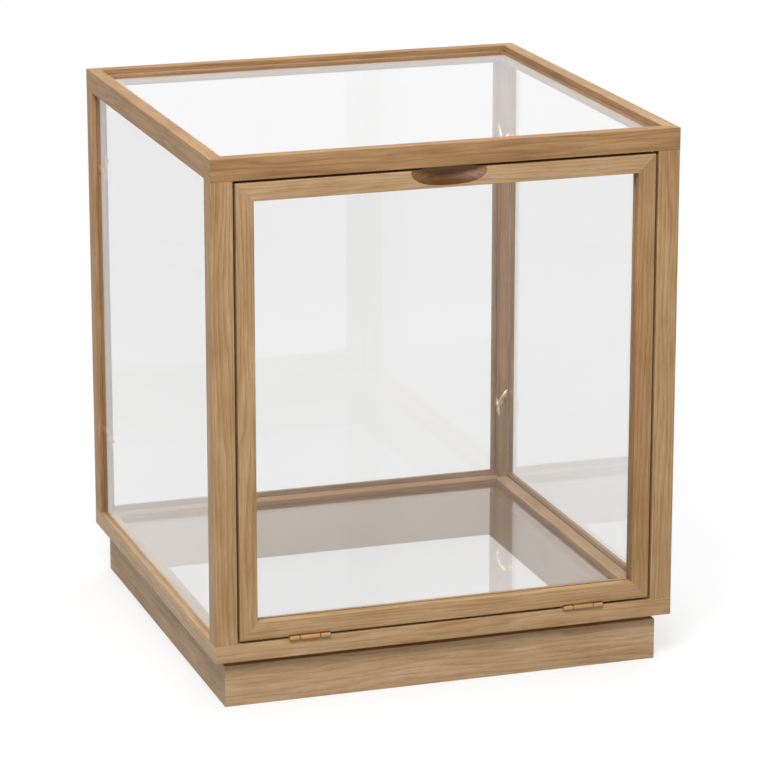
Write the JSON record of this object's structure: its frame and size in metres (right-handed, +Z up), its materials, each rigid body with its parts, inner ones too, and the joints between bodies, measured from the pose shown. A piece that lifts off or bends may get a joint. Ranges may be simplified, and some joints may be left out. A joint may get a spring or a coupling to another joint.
{
  "type": "glass display case",
  "caption": "Table-top display case of mitred oak with loose glass panes held by brass turn buttons, a set-back plinth and a drop-front inset door on brass butt hinges.",
  "frame": {"origin": "middle of the footprint on the surface that the plinth stands on", "axes": "+Z up, the door faces -Y, and +X is to the right for a viewer in front of the door"},
  "size_m": [0.45, 0.4534, 0.52],
  "materials": {
    "oak": "light oak with a thin oil finish, satin",
    "glass": "clear float glass with seamed edges, 3 mm",
    "brass": "polished brass, unlacquered",
    "catch_steel": "nickel-plated magnet and steel disc"
  },
  "bodies": {
    "case": {"post_front_left": "oak", "post_front_right": "oak", "post_rear_left": "oak", "post_rear_right": "oak", "top_rail_front": "oak", "top_rail_right": "oak", "top_rail_rear": "oak", "top_rail_left": "oak", "bottom_rail_front": "oak", "bottom_rail_right": "oak", "bottom_rail_rear": "oak", "bottom_rail_left": "oak", "plinth_front": "oak", "plinth_right": "oak", "plinth_rear": "oak", "plinth_left": "oak", "pane_left": "glass", "pane_right": "glass", "pane_rear": "glass", "pane_top": "glass", "pane_floor": "glass", "hinge_case_leaf_left": "brass", "hinge_case_leaf_right": "brass", "hinge_pin_left": "brass", "hinge_pin_right": "brass", "hinge_screws_case": "brass", "button_screws": "brass", "door_stop": "oak", "catch_magnets": "catch_steel"},
    "door": {"door_rail_bottom": "oak", "door_stile_right": "oak", "door_rail_top": "oak", "door_stile_left": "oak", "door_bead_bottom": "oak", "door_bead_right": "oak", "door_bead_top": "oak", "door_bead_left": "oak", "door_glass": "glass", "hinge_door_leaf_left": "brass", "hinge_door_leaf_right": "brass", "hinge_screws_door": "brass", "catch_plates": "catch_steel"},
    "button_left_front_low": {"button_left_front_low": "brass"},
    "button_left_front_high": {"button_left_front_high": "brass"},
    "button_left_rear_low": {"button_left_rear_low": "brass"},
    "button_left_rear_high": {"button_left_rear_high": "brass"},
    "button_right_front_low": {"button_right_front_low": "brass"},
    "button_right_front_high": {"button_right_front_high": "brass"},
    "button_right_rear_low": {"button_right_rear_low": "brass"},
    "button_right_rear_high": {"button_right_rear_high": "brass"},
    "button_rear_left_low": {"button_rear_left_low": "brass"},
    "button_rear_left_high": {"button_rear_left_high": "brass"},
    "button_rear_right_low": {"button_rear_right_low": "brass"},
    "button_rear_right_high": {"button_rear_right_high": "brass"}
  },
  "joints": [
    {"name": "door_hinge", "type": "hinge", "parent": "case", "child": "door", "pos_m": [0, -0.2245, 0.06525], "axis": [1, 0, 0], "range_deg": [0, 98]},
    {"name": "turn_left_front_low", "type": "hinge", "parent": "case", "child": "button_left_front_low", "pos_m": [-0.2125, -0.2059, 0.1455], "axis": [0, 1, 0], "range_deg": [0, 60]},
    {"name": "turn_left_front_high", "type": "hinge", "parent": "case", "child": "button_left_front_high", "pos_m": [-0.2125, -0.2059, 0.4175], "axis": [0, 1, 0], "range_deg": [0, 60]},
    {"name": "turn_left_rear_low", "type": "hinge", "parent": "case", "child": "button_left_rear_low", "pos_m": [-0.2125, 0.2093, 0.1455], "axis": [0, 1, 0], "range_deg": [0, 60]},
    {"name": "turn_left_rear_high", "type": "hinge", "parent": "case", "child": "button_left_rear_high", "pos_m": [-0.2125, 0.2093, 0.4175], "axis": [0, 1, 0], "range_deg": [0, 40]},
    {"name": "turn_right_front_low", "type": "hinge", "parent": "case", "child": "button_right_front_low", "pos_m": [0.2125, -0.2059, 0.1455], "axis": [0, -1, 0], "range_deg": [0, 60]},
    {"name": "turn_right_front_high", "type": "hinge", "parent": "case", "child": "button_right_front_high", "pos_m": [0.2125, -0.2059, 0.4175], "axis": [0, -1, 0], "range_deg": [0, 60]},
    {"name": "turn_right_rear_low", "type": "hinge", "parent": "case", "child": "button_right_rear_low", "pos_m": [0.2125, 0.2093, 0.1455], "axis": [0, -1, 0], "range_deg": [0, 60]},
    {"name": "turn_right_rear_high", "type": "hinge", "parent": "case", "child": "button_right_rear_high", "pos_m": [0.2125, 0.2093, 0.4175], "axis": [0, -1, 0], "range_deg": [0, 40]},
    {"name": "turn_rear_left_low", "type": "hinge", "parent": "case", "child": "button_rear_left_low", "pos_m": [-0.2076, 0.2142, 0.1355], "axis": [1, 0, 0], "range_deg": [0, 40]},
    {"name": "turn_rear_left_high", "type": "hinge", "parent": "case", "child": "button_rear_left_high", "pos_m": [-0.2076, 0.2142, 0.4275], "axis": [1, 0, 0], "range_deg": [0, 60]},
    {"name": "turn_rear_right_low", "type": "hinge", "parent": "case", "child": "button_rear_right_low", "pos_m": [0.2076, 0.2142, 0.1355], "axis": [1, 0, 0], "range_deg": [0, 40]},
    {"name": "turn_rear_right_high", "type": "hinge", "parent": "case", "child": "button_rear_right_high", "pos_m": [0.2076, 0.2142, 0.4275], "axis": [1, 0, 0], "range_deg": [0, 60]}
  ]
}
